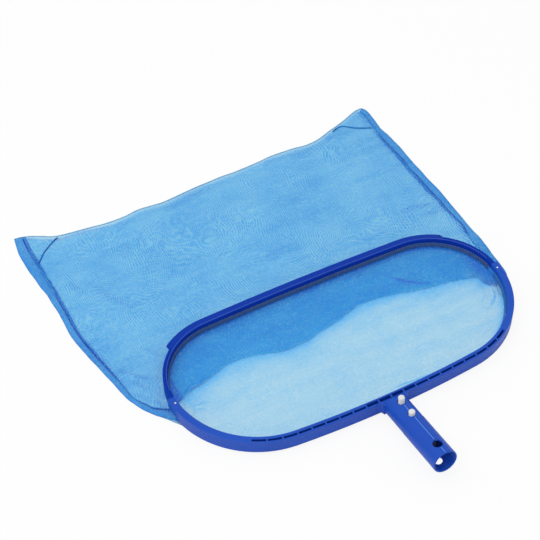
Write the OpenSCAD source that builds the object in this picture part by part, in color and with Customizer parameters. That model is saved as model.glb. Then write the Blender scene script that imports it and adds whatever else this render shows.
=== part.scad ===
// Deep-bag leaf skimmer net for pools and spas.
// An oval moulded frame lies flat, with a ribbed channel on the handle side and a
// sloping scoop lip on the far side. A fine mesh bag hangs from a groove inside the
// frame, and a round socket tube with a snap clip carries the pole.
// +Z is up, -Y points out of the socket tube, and the bag lies towards +Y.
// The origin is on the socket tube's axis, at the middle of its cross hole.

/* [Frame opening] */
// Half-length of the opening, at its widest line
ring_half = 206.5; // [190:0.5:225]
// From the widest line to the inner wall on the handle side
ring_front = 106.7; // [100:0.1:115]
// From the widest line to the inner wall on the lip side
ring_back = 80; // [74:0.1:86]
// Radius of the long handle-side curve
front_r = 1265; // [1000:5:1600]
// Radius of the nearly straight lip-side curve
back_r = 3850; // [3000:50:5000]

/* [Handle frame] */
// Height of the moulding
frame_h = 17.1; // [15:0.1:20]
// Width of the channel section on the handle side
channel_w = 8.2; // [7.6:0.1:10]
// Thickness of the inner rim, which holds the net groove
inner_rim = 3.6; // [3.2:0.1:4]
// Thickness of the outer wall of the channel
outer_rim = 1.8; // [1.4:0.1:2.2]
// Thickness of the channel's floor
channel_floor = 2.6; // [2:0.1:4]
// Rounding of the moulding's long edges
edge_r = 0.6; // [0.3:0.1:1]
// Thickness of the cross ribs in the channel
rib_t = 1.7; // [1:0.1:2.2]
// Pitch of the cross ribs
rib_pitch = 16.3; // [15:0.1:17]
// Number of slots on each side of the socket
side_slots = 8; // [4:1:8]
// Pitch of the four wide slots over the socket
wide_pitch = 15.5; // [14:0.1:16.5]
// Thickness of the inner rim beside the wide slots
wide_rim = 2.2; // [1.8:0.1:2.6]
// Depth of the wide part of those slots
wide_depth = 5.5; // [4:0.1:6]
// Length of the hollow in the underside between the last slot and the joint
core_len = 58; // [30:1:62]

/* [Net groove] */
// Height of the groove's middle above the frame's underside
groove_z = 8.5; // [8:0.1:9.4]
// Height of the groove
groove_h = 2.6; // [2:0.1:2.8]
// Depth of the groove
groove_d = 1.9; // [1.4:0.1:2]
// Clearance of the net's hem in the groove
hem_gap = 0.1; // [0.05:0.05:0.2]

/* [Lip frame] */
// Width of the narrow bar on the lip side
bar_w = 5.4; // [4.6:0.1:6.4]
// Width of the flat ridge beside the opening
ridge_w = 1.6; // [1.2:0.1:2.2]
// How far the scoop lip reaches out from the inner wall
lip_reach = 12; // [9:0.1:14]
// Downward slope of the scoop lip, in degrees
lip_slope = 20; // [14:1:26]
// Thickness of the scoop lip
lip_t = 2; // [1.6:0.1:2.6]
// Half-length of the scoop lip
lip_half = 182; // [160:1:190]
// Depth of the fine line along the top of the bar
line_d = 0.5; // [0.3:0.1:0.8]

/* [Frame joints] */
// Length of the overlap where the two frame halves join
lap_len = 16; // [12:1:20]
// Height of the lower half of the overlap
lap_h = 5.9; // [5:0.1:6.2]
// Play between the two halves of the overlap
lap_gap = 0.15; // [0.1:0.05:0.25]
// Diameter of the joint pins
pin_d = 2.2; // [1.8:0.1:2.4]

/* [Socket tube] */
// Outer diameter of the tube, which fits inside a pool pole
tube_d = 28.5; // [26:0.1:30]
// Wall of the tube
tube_wall = 1.9; // [1.6:0.1:2.4]
// Length of the round guide that the pole slides on, in front of the lock button
guide_len = 60.6; // [50:0.1:61]
// How much thinner the tube is behind the guide
guide_step = 0.2; // [0.1:0.05:0.3]
// Length of the tube, from the handle frame to its open end
tube_len = 102.3; // [95:0.1:120]
// Upward slope of the tube towards its open end, in degrees
tube_tilt = 7.3; // [5:0.1:9]
// Solid length of the tube next to the frame
tube_plug = 10; // [9:0.5:11]
// Slope of the bevel that blends the tube into the frame, in degrees
root_bevel = 50; // [45:1:60]
// Radius of the fillets between the tube and the frame
root_fillet = 6; // [4:0.5:8]
// Diameter of the cross hole near the open end
cross_d = 10.9; // [9:0.1:12]
// From the open end to the middle of the cross hole
cross_in = 15.1; // [13:0.1:17]

/* [Snap clip] */
// Diameter of both buttons
button_d = 7.2; // [6:0.1:8]
// From the handle frame to the release button
release_at = 17.4; // [15.5:0.1:19]
// From the release button to the lock button
button_pitch = 20.6; // [19:0.1:23]
// How far the release button stands out of the tube
release_proud = 8; // [7:0.1:10]
// How far the lock button stands out of the tube
lock_proud = 4.7; // [4:0.1:5.5]
// From the lock button to the bend of the clip
clip_arm = 29.1; // [27:0.1:31]
// Thickness of the clip's strip
clip_t = 1.6; // [1.2:0.1:1.8]
// Width of the clip's strip
clip_w = 9; // [8:0.1:9.5]
// Length of the clip's fixed foot
clip_foot = 45; // [38:1:50]
// Radial clearance of the buttons in their holes
button_gap = 0.25; // [0.2:0.05:0.4]
// Angle that the clip's arm turns when it is pressed in
press_deg = 9.9; // [8.5:0.1:11]

/* [Net bag] */
// Thickness of a net layer with its body
net_t = 1; // [0.8:0.1:1.2]
// Gap between net layers that lie on each other
net_gap = 0.3; // [0.3:0.1:0.5]
// Half-width of the bag
bag_half = 250; // [238:1:265]
// Sideways offset of the bag as it lies
bag_x = -18; // [-22:1:0]
// From the widest line to the middle of the bag's far edge
bag_far = 304; // [240:1:330]
// How much further the two far corners reach
corner_rise = 32; // [10:1:40]
// Width of the binding tape along each side
tape_w = 7; // [5:0.5:9]
// Height of the binding tape
tape_h = 3; // [2.8:0.1:3.4]
// From the widest line to the start of the side tapes
tape_start = 16; // [8:1:40]
// Width of the folded far edge
fold_w = 4; // [3:0.5:6]
// Width of the sloping net below the handle-side hem
skirt_w = 13; // [10:0.5:16]
// Slope of the tucked net inside the opening, in degrees
tuck_slope = 6; // [5.5:0.1:6.2]
// Width of the seam thread
thread_w = 0.8; // [0.6:0.1:1.2]
// Distance of the seam thread from the bag's edge
thread_in = 5; // [3:0.1:6]
// Length of each corner seam
corner_len = 44; // [35:1:50]
// Width of each corner seam
corner_w = 2.6; // [2:0.1:4]
// Gap that keeps the sewn pieces apart
sew_gap = 0.1; // [0.05:0.05:0.2]

/* [Hidden] */
$fn = 64;
eps = 0.02;
// Neighbouring arcs overlap by a short length where they join. The profile on one of them
// is larger all round by a hair, so that the two never share a face.
overlap = 0.6;
hair = 0.02;
rad = 180 / PI;

// The opening is a four-centred oval: two long arcs joined by corner arcs that meet on
// the widest line.
front_cy = front_r - ring_front;
back_cy = ring_back - back_r;
corner_rf = (front_r ^ 2 - ring_half ^ 2 - front_cy ^ 2) / (2 * (front_r - ring_half));
corner_rb = (back_r ^ 2 - ring_half ^ 2 - back_cy ^ 2) / (2 * (back_r - ring_half));
corner_xf = ring_half - corner_rf;
corner_xb = ring_half - corner_rb;
front_a = atan(corner_xf / front_cy);
back_a = atan(corner_xb / -back_cy);
front_len = front_r * front_a / rad;
lip_a = acos((lip_half + 0.3 - corner_xb) / (corner_rb + bar_w));
half_len = front_len + corner_rf * (90 - front_a) / rad;
pin_off = groove_d + 0.1 + pin_d / 2;

// Heights above the floor.
frame_z = 2 * net_t + 2 * net_gap;
hem_z = frame_z + groove_z;

// Socket tube: its root on the frame's outer wall touches the floor.
tube_r = tube_d / 2;
bore_r = tube_r - tube_wall;
root_y = ring_front + channel_w;
root_z = tube_r / cos(tube_tilt);
mouth_y = root_y + tube_len * cos(tube_tilt);
mouth_z = root_z + tube_len * sin(tube_tilt);

// Snap clip, measured along the tube from the frame.
lock_at = release_at + button_pitch;
bend_at = lock_at + clip_arm;
lever_y = bore_r - 0.5 * clip_t - 1.25;

// Path of the frame: a point at a length s along the handle side from the centre line,
// moved outwards by off.
function front_pt(s, off = 0) =
    let (
        t = abs(s),
        k = s < 0 ? -1 : 1,
        a = t < front_len ? t / front_r * rad : front_a + (t - front_len) / corner_rf * rad,
        r = t < front_len ? front_r : corner_rf,
        c = t < front_len ? [0, front_cy] : [corner_xf, 0]
    )
    [k * (c[0] + (r + off) * sin(a)), c[1] - (r + off) * cos(a)];

// A point on the lip side at an angle round the corner arc, then along the long arc.
function back_pt(q, off = 0) =
    let (
        k = q < 0 ? -1 : 1,
        a = 90 * (1 - abs(q)),
        lim = 90 - back_a,
        u = abs(q) * 2,
        t = u < 1 ? lim * u : 0
    )
    u < 1
    ? [k * (corner_xb + (corner_rb + off) * cos(t)), (corner_rb + off) * sin(t)]
    : [
        k * (back_r + off) * sin(back_a * (2 - u)),
        back_cy + (back_r + off) * cos(back_a * (2 - u))
    ];

// Outline of the bag as it lies.
function far_y(x) =
    bag_far + 0.04 * (x - bag_x) + corner_rise * pow(abs(x - bag_x) / bag_half, 5);
function left_x(y, in = 0) =
    bag_x - bag_half - 1 + 0.0016 * pow(max(0, 150 - y), 2) + in;
function right_x(y, in = 0) =
    bag_x + bag_half + 0.5 - 0.0006 * pow(max(0, 100 - y), 2) - in;
function fold_y(x) =
    18 + 0.02 * x + 8.5 * cos(360 * (x - 47) / 165) - 16 * pow(x / 190, 6);

// Sweeps the child profile along an arc. In the profile, x is measured outwards from
// the inner wall and y is the height. The profile grows by $g all round.
module arc(cx, cy, r, a0, a1, $g = 0) {
    translate([cx, cy, 0])
        rotate([0, 0, a0])
            rotate_extrude(angle = a1 - a0, $fn = 240)
                translate([r, 0])
                    children();
}

// Along the handle side, between two lengths from the centre line on the right half.
module along_front(s0, s1) {
    if (s0 < front_len)
        arc(
            0, front_cy, front_r,
            270 + s0 / front_r * rad,
            270 + (min(s1, front_len) + (s1 > front_len ? overlap / 2 : 0)) / front_r * rad,
            hair
        ) children();
    if (s1 > front_len)
        arc(
            corner_xf, 0, corner_rf,
            270 + front_a + (max(s0, front_len) - front_len) / corner_rf * rad,
            270 + front_a + (s1 - front_len) / corner_rf * rad
        ) children();
}

// The whole handle side, up to the widest line at both ends.
module whole_front(short = 0) {
    lap = overlap / front_r * rad;
    arc(0, front_cy, front_r, 270 - front_a - lap, 270 + front_a + lap, hair) children();
    for (side = [0, 1])
        mirror([side, 0, 0])
            arc(corner_xf, 0, corner_rf, 270 + front_a, 360 - short / corner_rf * rad)
                children();
}

// The whole lip side, between the widest line's ends.
module whole_back() {
    lap = overlap / back_r * rad;
    arc(0, back_cy, back_r, 90 - back_a - lap, 90 + back_a + lap, hair) children();
    for (side = [0, 1])
        mirror([side, 0, 0])
            arc(corner_xb, 0, corner_rb, 0, 90 - back_a) children();
}

// Places what is drawn along the tube: z runs from the frame to the open end, y is up.
module on_tube() {
    translate([0, -root_y, root_z])
        rotate([90 - tube_tilt, 0, 0])
            children();
}

// Moves the part so that the middle of the cross hole is the origin.
module placed() {
    translate([0, mouth_y - cross_in * cos(tube_tilt), cross_in * sin(tube_tilt) - mouth_z])
        children();
}

// The line from which a side tape at a distance x from the middle clears the frame.
function clear_y(x) =
    max(tape_start, sqrt(max(
        0, pow(corner_rb + bar_w + 1, 2) - pow(max(0, x - corner_xb), 2)
    )));

// Corner points of the net groove in a profile.
function groove_pts() = [
    [-$g, groove_z + groove_h / 2 - $g], [groove_d - $g, groove_z + groove_h / 2 - $g],
    [groove_d - $g, groove_z - groove_h / 2 + $g], [-$g, groove_z - groove_h / 2 + $g],
];

// Points that round the lower edges of a bar, from its inner wall to its outer one.
function foot_pts(w) = [
    [-$g, edge_r - $g], [0.3 * edge_r - $g, 0.3 * edge_r - $g], [edge_r - $g, -$g],
    [w - edge_r + $g, -$g], [w - 0.3 * edge_r + $g, 0.3 * edge_r - $g],
    [w + $g, edge_r - $g],
];

// Points that round an upper edge, on the inner wall.
function inner_top_pts() = [
    [edge_r - $g, frame_h + $g], [0.3 * edge_r - $g, frame_h - 0.3 * edge_r + $g],
    [-$g, frame_h - edge_r + $g],
];

// Points that round an upper edge, on the outer wall of a bar.
function outer_top_pts(w) = [
    [w + $g, frame_h - edge_r + $g], [w - 0.3 * edge_r + $g, frame_h - 0.3 * edge_r + $g],
    [w - edge_r + $g, frame_h + $g],
];

// Profile of the handle side, with its rounded edges and the net groove.
module handle_profile() {
    polygon([
        each foot_pts(channel_w), each outer_top_pts(channel_w),
        each inner_top_pts(), each groove_pts(),
    ]);
}

// Profile of the lip side's bar, with the net groove and the fine line on top.
module bar_profile() {
    polygon([
        each foot_pts(bar_w), each outer_top_pts(bar_w),
        [ridge_w + 1.2, frame_h], [ridge_w + 0.9, frame_h - line_d],
        [ridge_w + 0.5, frame_h - line_d], [ridge_w + 0.2, frame_h],
        each inner_top_pts(), each groove_pts(),
    ]);
}

// Profile of the lip side's bar with the scoop lip on it.
module lip_profile() {
    k = tan(lip_slope);
    drop = (lip_reach - ridge_w) * k;
    polygon([
        each foot_pts(bar_w),
        [bar_w + $g, frame_h - (bar_w - ridge_w) * k - 2.2 * lip_t - $g],
        [bar_w + 1.8, frame_h - (bar_w + 1.8 - ridge_w) * k - lip_t - $g],
        [lip_reach - 0.5, frame_h - drop - 0.9 * lip_t - $g],
        [lip_reach + $g, frame_h - drop - 0.6 * lip_t - $g],
        [lip_reach + $g, frame_h - drop - 0.3 + $g],
        [lip_reach - 0.3, frame_h - drop + 0.3 * k + $g],
        [ridge_w, frame_h + $g],
        each inner_top_pts(), each groove_pts(),
    ]);
}

// One slot of the channel, between two ribs.
module slot_cut(s0, s1, wide) {
    t = rib_t / 2;
    along_front(s0 + t, s1 - t)
        translate([inner_rim - $g, channel_floor - $g])
            square([channel_w - inner_rim - outer_rim + 2 * $g, frame_h]);
    if (wide)
        along_front(s0 + t, s1 - t)
            translate([wide_rim - $g, frame_h - wide_depth - $g])
                square([channel_w - wide_rim - outer_rim - hair + 2 * $g, frame_h]);
}

// The whole row of slots: four wide ones over the socket and the narrow ones beside it.
module slot_row() {
    for (side = [0, 1])
        mirror([side, 0, 0]) {
            for (i = [0:1])
                slot_cut(i * wide_pitch, (i + 1) * wide_pitch, true);
            for (i = [0:side_slots - 1])
                slot_cut(
                    2 * wide_pitch + i * rib_pitch, 2 * wide_pitch + (i + 1) * rib_pitch,
                    false
                );
        }
}

// A long hole for a button, stretched towards the frame by what the button swings.
module button_hole(at, swing) {
    r = button_d / 2 + button_gap;
    translate([0, 0, at])
        rotate([-90, 0, 0])
            linear_extrude(tube_r + 1) {
                circle(r);
                translate([0, swing])
                    circle(r);
                translate([-r, 0])
                    square([2 * r, swing]);
            }
}

// How far a button's middle moves along the tube, at the tube's surface, when pressed.
function swing(arm, proud) =
    (tube_r - lever_y + arm * sin(press_deg)) * tan(press_deg)
    - arm * (1 - cos(press_deg)) + 0.1;

module tube_outside() {
    on_tube()
        rotate_extrude()
            polygon([
                [0, -outer_rim / 2], [tube_r - guide_step, -outer_rim / 2],
                [tube_r - guide_step, tube_len - guide_len - guide_step],
                [tube_r, tube_len - guide_len], [tube_r, tube_len - 0.6],
                [tube_r - 0.2, tube_len - 0.2], [tube_r - 0.6, tube_len], [0, tube_len],
            ]);
}

module tube_inside() {
    on_tube() {
        rotate_extrude()
            polygon([
                [0, tube_plug], [bore_r - 1, tube_plug], [bore_r, tube_plug + 1],
                [bore_r, tube_len - 0.5], [bore_r + 0.5, tube_len + eps],
                [bore_r + 0.5, tube_len + 1], [0, tube_len + 1],
            ]);
        translate([0, 0, tube_len - cross_in])
            rotate([90, 0, 0])
                cylinder(d = cross_d, h = 2 * tube_r + 4, center = true);
        button_hole(release_at, swing(bend_at - release_at));
        button_hole(lock_at, swing(clip_arm));
    }
}

// Plan fillets on both sides of the tube's root.
module root_fillets() {
    for (side = [-1, 1])
        translate([0, 0, root_z - 8])
            linear_extrude(15)
                difference() {
                    translate([side > 0 ? tube_r - 4 : -tube_r - root_fillet, -root_y - root_fillet])
                        square([root_fillet + 4, root_fillet + outer_rim / 2]);
                    translate([side * (tube_r + root_fillet), -root_y - root_fillet])
                        circle(root_fillet);
                }
}

// The handle side of the frame and the socket tube, one moulding.
module handle_frame() {
    color("#2f56c4")
        placed()
            difference() {
                union() {
                    translate([0, 0, frame_z])
                        whole_front()
                            handle_profile();
                    difference() {
                        union() {
                            tube_outside();
                            root_fillets();
                        }
                        // Bevel that runs the top of the tube down to the frame.
                        translate([-tube_d, -root_y + outer_rim, frame_z + frame_h])
                            rotate([-root_bevel, 0, 0])
                                translate([0, -2 * tube_d, 0])
                                    cube([2 * tube_d, 4 * tube_d, 2 * tube_d]);
                        // Floor under the root.
                        translate([-tube_d, -root_y - tube_d, -tube_d])
                            cube([2 * tube_d, 2 * tube_d, tube_d]);
                    }
                }
                translate([0, 0, frame_z])
                    slot_row();
                tube_inside();
                translate([0, 0, frame_z])
                    for (side = [0, 1])
                        mirror([side, 0, 0]) {
                            // Hollow underside between the last slot and the joint.
                            along_front(half_len - lap_len - 4 - core_len, half_len - lap_len - 4)
                                translate([inner_rim, -1])
                                    square([channel_w - inner_rim - outer_rim, frame_h - 1.6]);
                            // Room for the lip frame's tongue.
                            along_front(half_len - lap_len, half_len + 1)
                                translate([-1, -1])
                                    square([channel_w + 2, lap_h + 1]);
                            joint_pin_hole();
                        }
            }
}

// The hole for a joint pin, on the right side.
module joint_pin_hole() {
    p = front_pt(half_len - lap_len / 2, pin_off);
    translate([p[0], p[1], -1])
        cylinder(d = pin_d, h = frame_h + 2, $fn = 32);
}

// The lip side of the frame with its scoop lip, one moulding.
module lip_frame() {
    color("#223fa6")
        placed()
            translate([0, 0, frame_z])
                difference() {
                    union() {
                        lap = overlap / back_r * rad;
                        lap_in = overlap / corner_rb * rad;
                        arc(
                            0, back_cy, back_r,
                            90 - back_a - lap, 90 + back_a + lap, 2 * hair
                        ) lip_profile();
                        for (side = [0, 1])
                            mirror([side, 0, 0]) {
                                arc(corner_xb, 0, corner_rb, lip_a, 90 - back_a, hair)
                                    lip_profile();
                                arc(corner_xb, 0, corner_rb, 0, lip_a + lap_in)
                                    bar_profile();
                                // Tongue that the handle frame lies on.
                                along_front(half_len - lap_len + lap_gap, half_len + overlap)
                                    translate([hair, 0])
                                        square([bar_w - 2 * hair, lap_h - lap_gap]);
                            }
                    }
                    // Square ends of the lip.
                    for (side = [0, 1])
                        mirror([side, 0, 0])
                            translate([lip_half, (corner_rb + bar_w) * sin(lip_a) - 0.2, -1])
                                cube([lip_reach, lip_reach, frame_h + 2]);
                    for (side = [0, 1])
                        mirror([side, 0, 0])
                            joint_pin_hole();
                }
}

// A pin through the overlap of the two frame halves, with a low round head.
module joint_pin() {
    p = front_pt(half_len - lap_len / 2, pin_off);
    r = pin_d / 2;
    translate([p[0], p[1], frame_z + 0.4])
        rotate_extrude($fn = 32)
            polygon([
                [0, 0], [r - 0.3, 0], [r, 0.3], [r, frame_h - 0.4],
                for (a = [0:30:90]) [r * cos(a), frame_h - 0.4 + 0.5 * sin(a)],
            ]);
}

module joint_pin_left() {
    color("white")
        placed()
            mirror([1, 0, 0])
                joint_pin();
}

module joint_pin_right() {
    color("white")
        placed()
            joint_pin();
}

// The hem of the net, which sits in the frame's groove.
module hem_profile() {
    h = groove_h / 2 - hem_gap + $g;
    d = groove_d - hem_gap + $g;
    translate([0, groove_z])
        polygon([
            [-0.5 - $g, -h + 0.4], [-0.1, -h], [d - 0.4, -h], [d, -h + 0.4],
            [d, h - 0.4], [d - 0.4, h], [-0.1, h], [-0.5 - $g, h - 0.4],
        ]);
}

module mouth_hem_front() {
    color("#3a78cc")
        placed()
            translate([0, 0, frame_z])
                whole_front(hem_gap)
                    hem_profile();
}

module mouth_hem_rear() {
    color("#3a78cc")
        placed()
            translate([0, 0, frame_z])
                whole_back()
                    hem_profile();
}

// The fixed half of the snap clip: its foot on the floor of the tube and its bend.
module clip_spring() {
    bend_r = lever_y + clip_t / 2;
    color("dimgray")
        placed()
            on_tube()
                intersection() {
                    union() {
                        translate([-clip_w / 2, -bend_r, bend_at - clip_foot])
                            cube([clip_w, clip_t, clip_foot]);
                        translate([-clip_w / 2, 0, bend_at])
                            rotate([0, 90, 0])
                                difference() {
                                    cylinder(r = bend_r, h = clip_w);
                                    translate([0, 0, -1])
                                        cylinder(r = bend_r - clip_t, h = clip_w + 2);
                                    translate([0, -30, -1])
                                        cube([60, 60, clip_w + 2]);
                                }
                        // Foot that stands on the tube's wall.
                        translate([-clip_w / 2, -bore_r - 1, bend_at - clip_foot])
                            cube([clip_w, bore_r + 1 - bend_r + eps, 8]);
                    }
                    cylinder(r = bore_r, h = tube_len);
                }
}

// The moving arm of the snap clip, which carries both buttons.
module clip_lever() {
    color("dimgray")
        placed()
            on_tube()
                difference() {
                    translate([-clip_w / 2, lever_y - clip_t / 2, release_at - 5])
                        cube([clip_w, clip_t, bend_at - release_at + 5 - 0.3]);
                    for (at = [release_at, lock_at])
                        translate([0, lever_y, at])
                            rotate([90, 0, 0])
                                cylinder(d = button_d - 2, h = 10, center = true);
                }
}

// A button with a stem in the lever, a shoulder on it and a rounded top.
module button(at, proud) {
    r = button_d / 2;
    foot = lever_y + clip_t / 2;
    top = tube_r + proud;
    soft = 1.6;
    translate([0, 0, at])
        rotate([-90, 0, 0])
            rotate_extrude()
                polygon([
                    [0, foot - clip_t], [r - 1, foot - clip_t], [r - 1, foot], [r, foot],
                    [r, top - soft],
                    for (a = [15:15:75]) [r - soft + soft * cos(a), top - soft + soft * sin(a)],
                    [r - soft, top], [0, top],
                ]);
}

module release_button() {
    color("white")
        placed()
            on_tube()
                button(release_at, release_proud);
}

module lock_button() {
    color("white")
        placed()
            on_tube()
                button(lock_at, lock_proud);
}

// Bag outline inside the side tapes and the far fold, from a front edge to the far one.
module bag_plan(front, y0) {
    in = tape_w + sew_gap;
    x0 = left_x(far_y(bag_x - bag_half)) + in;
    x1 = right_x(far_y(bag_x + bag_half)) - in;
    yl = far_y(x0) - fold_w - sew_gap;
    yr = far_y(x1) - fold_w - sew_gap;
    polygon([
        each front,
        for (i = [0:16]) let (y = y0 + (yr - y0) * i / 16) [right_x(y, in), y],
        for (i = [1:23]) let (x = x1 + (x0 - x1) * i / 24) [x, far_y(x) - fold_w - sew_gap],
        for (i = [0:16]) let (y = yl + (y0 - yl) * i / 16) [left_x(y, in), y],
    ]);
}

// The lower layer: flat under the bag and the opening, and sloping up to the front hem.
module lower_net_panel() {
    n = 48;
    s1 = half_len - 6;
    color("#8fc8f0")
        placed() {
            linear_extrude(net_t)
                bag_plan([for (i = [0:n]) front_pt(-s1 + 2 * s1 * i / n, -skirt_w + 2)], -4);
            whole_front(hem_gap)
                polygon([
                    [-skirt_w - 0.6, 0.2 * net_t], [-skirt_w + 0.8 + $g, 0.2 * net_t],
                    [-0.5 - 2 * sew_gap + $g, hem_z - 0.7],
                    [-0.5 - 2 * sew_gap + $g, hem_z + 0.5 + $g],
                    [-skirt_w - $g, 0.8 * net_t], [-skirt_w - 0.6 - $g, 0.8 * net_t],
                ]);
        }
}

// The upper layer: on the lower one as far as the wavy fold, then back up to the rear hem.
module upper_net_panel() {
    n = 32;
    low = net_t + net_gap;
    x0 = -0.93 * ring_half;
    x1 = 0.93 * ring_half;
    edge = [for (i = [0:n]) let (x = x0 + (x1 - x0) * i / n) [x, max(fold_y(x), 0.6)]];
    color("#5aa9ea")
        placed() {
            translate([0, 0, low])
                linear_extrude(net_t)
                    bag_plan(edge, 0.6);
            // The roll of the fold, up to the tucked layer.
            intersection() {
                translate([0, 0, low])
                    linear_extrude(12)
                        polygon([
                            each edge,
                            for (i = [n:-1:0]) edge[i] + [0, 2.5],
                        ]);
                translate([0, 0, frame_z])
                    rotate([tuck_slope, 0, 0])
                        translate([-ring_half, -ring_back, -ring_back])
                            cube([2 * ring_half, 3 * ring_back, ring_back + net_t / 2]);
            }
            translate([0, 0, frame_z])
                rotate([tuck_slope, 0, 0])
                    linear_extrude(net_t)
                        polygon([
                            each edge,
                            for (i = [0:32]) back_pt(0.03 + 0.97 * i / 32, -0.9),
                            for (i = [31:-1:0]) back_pt(-0.03 - 0.97 * i / 32, -0.9),
                        ]);
        }
}

// The folded far edge of the bag.
module far_fold() {
    x0 = left_x(far_y(bag_x - bag_half)) + tape_w;
    x1 = right_x(far_y(bag_x + bag_half)) - tape_w;
    color("#a9d4f2")
        placed()
            linear_extrude(2 * net_t + net_gap)
                polygon([
                    for (i = [0:24]) let (x = x0 + (x1 - x0) * i / 24) [x, far_y(x) - fold_w],
                    for (i = [24:-1:0]) let (x = x0 + (x1 - x0) * i / 24) [x, far_y(x)],
                ]);
}

// A band along one side of the bag, between two distances from its edge.
module side_band(left, in0, in1, y0, y1) {
    n = 20;
    function pt(y, in) = [left ? left_x(y, in) : right_x(y, in), y];
    polygon([
        for (i = [0:n]) pt(y0 + (y1 - y0) * i / n, in0),
        for (i = [n:-1:0]) pt(y0 + (y1 - y0) * i / n, in1),
    ]);
}

module side_tape(left) {
    x = left ? bag_x - bag_half : bag_x + bag_half;
    inner = abs(left ? left_x(tape_start, tape_w) : right_x(tape_start, tape_w));
    color("#3f8fdf")
        placed()
            linear_extrude(tape_h)
                side_band(left, 0, tape_w, clear_y(inner), far_y(x));
}

module side_tape_left() {
    side_tape(true);
}

module side_tape_right() {
    side_tape(false);
}

module side_thread(left) {
    x = left ? bag_x - bag_half : bag_x + bag_half;
    inner = abs(left ? left_x(tape_start, tape_w) : right_x(tape_start, tape_w));
    ends = tape_w / 3;
    color("#1f5fae")
        placed()
            translate([0, 0, tape_h])
                linear_extrude(0.4)
                    side_band(
                        left, thread_in, thread_in + thread_w,
                        clear_y(inner) + ends, far_y(x) - 2 * ends
                    );
}

module side_thread_left() {
    side_thread(true);
}

module side_thread_right() {
    side_thread(false);
}

// A short seam that closes one far corner of the bag.
module corner_seam(left) {
    x = left ? bag_x - bag_half + 10 : bag_x + bag_half - 10;
    y = far_y(x) - 34;
    color("#2b6fc0")
        placed()
            translate([x, y, 2 * net_t + net_gap])
                rotate([0, 0, left ? 48 : 132])
                    translate([0, -corner_w / 2, 0])
                        cube([corner_len - 10, corner_w, 1]);
}

module corner_seam_left() {
    corner_seam(true);
}

module corner_seam_right() {
    corner_seam(false);
}

handle_frame();
lip_frame();
joint_pin_left();
joint_pin_right();
mouth_hem_front();
mouth_hem_rear();
clip_spring();
clip_lever();
release_button();
lock_button();
lower_net_panel();
upper_net_panel();
far_fold();
side_tape_left();
side_tape_right();
side_thread_left();
side_thread_right();
corner_seam_left();
corner_seam_right();
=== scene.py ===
import math

import bpy
import numpy as np
from mathutils import Matrix, Vector, noise
from mathutils.bvhtree import BVHTree


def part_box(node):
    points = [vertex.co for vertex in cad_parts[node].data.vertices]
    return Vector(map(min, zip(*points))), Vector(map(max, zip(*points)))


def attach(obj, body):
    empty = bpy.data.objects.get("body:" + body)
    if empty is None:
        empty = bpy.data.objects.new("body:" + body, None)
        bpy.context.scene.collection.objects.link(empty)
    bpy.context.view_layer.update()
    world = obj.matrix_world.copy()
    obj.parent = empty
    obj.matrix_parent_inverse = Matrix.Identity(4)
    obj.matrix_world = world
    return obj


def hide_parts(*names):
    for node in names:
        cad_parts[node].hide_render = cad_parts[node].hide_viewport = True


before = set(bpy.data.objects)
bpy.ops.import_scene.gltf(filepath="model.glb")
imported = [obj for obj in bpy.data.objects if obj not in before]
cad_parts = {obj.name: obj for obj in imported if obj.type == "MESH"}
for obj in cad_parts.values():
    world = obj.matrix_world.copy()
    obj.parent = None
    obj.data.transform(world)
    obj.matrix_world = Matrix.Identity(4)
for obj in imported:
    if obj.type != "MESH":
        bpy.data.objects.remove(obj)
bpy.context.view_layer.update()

# ---------------------------------------------------------------------------
# Places. Shapes are written in millimetres on the floor: x along the opening,
# y from the opening's widest line towards the bag, z up from the floor.
# ---------------------------------------------------------------------------
Y0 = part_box("mouth_hem_rear")[0].y
Z0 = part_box("lower_net_panel")[0].z
SPLINE_STEPS = 24


def P(x, y, z):
    """A place in the scene, in metres."""
    return Vector((x / 1000, y / 1000 + Y0, z / 1000 + Z0))


def smooth(a, b, t):
    """0 at a, 1 at b, with soft ends; a may be the larger of the two."""
    k = np.clip((np.asarray(t, float) - a) / (b - a), 0, 1)
    return k * k * (3 - 2 * k)


def bell(d, width):
    return np.exp(-(d / width) ** 2)


def decay(d, length):
    return np.exp(-d / length)


def spacing(line):
    """Length along a line at each of its points."""
    return np.r_[0, np.cumsum(np.linalg.norm(np.diff(line, axis=0), axis=1))]


def curve(points, n):
    """Smooth line through the points, resampled to n points of equal spacing."""
    p = np.array(points, float)
    ext = np.vstack([2 * p[0] - p[1], p, 2 * p[-1] - p[-2]])
    out = []
    for i in range(len(p) - 1):
        a, b, c, d = ext[i:i + 4]
        for t in np.linspace(0, 1, SPLINE_STEPS, endpoint=False):
            out.append(
                0.5 * (2 * b + (c - a) * t + (2 * a - 5 * b + 4 * c - d) * t ** 2
                       + (3 * b - a - 3 * c + d) * t ** 3)
            )
    out.append(p[-1])
    out = np.array(out)
    s = spacing(out)
    q = np.linspace(0, s[-1], n)
    return np.stack([np.interp(q, s, out[:, k]) for k in range(p.shape[1])], 1)


def normals(line):
    """Unit vectors square to a line, to its left."""
    t = np.gradient(line, axis=0)
    t /= np.linalg.norm(t, axis=1)[:, None]
    return np.stack([-t[:, 1], t[:, 0]], 1)


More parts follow.
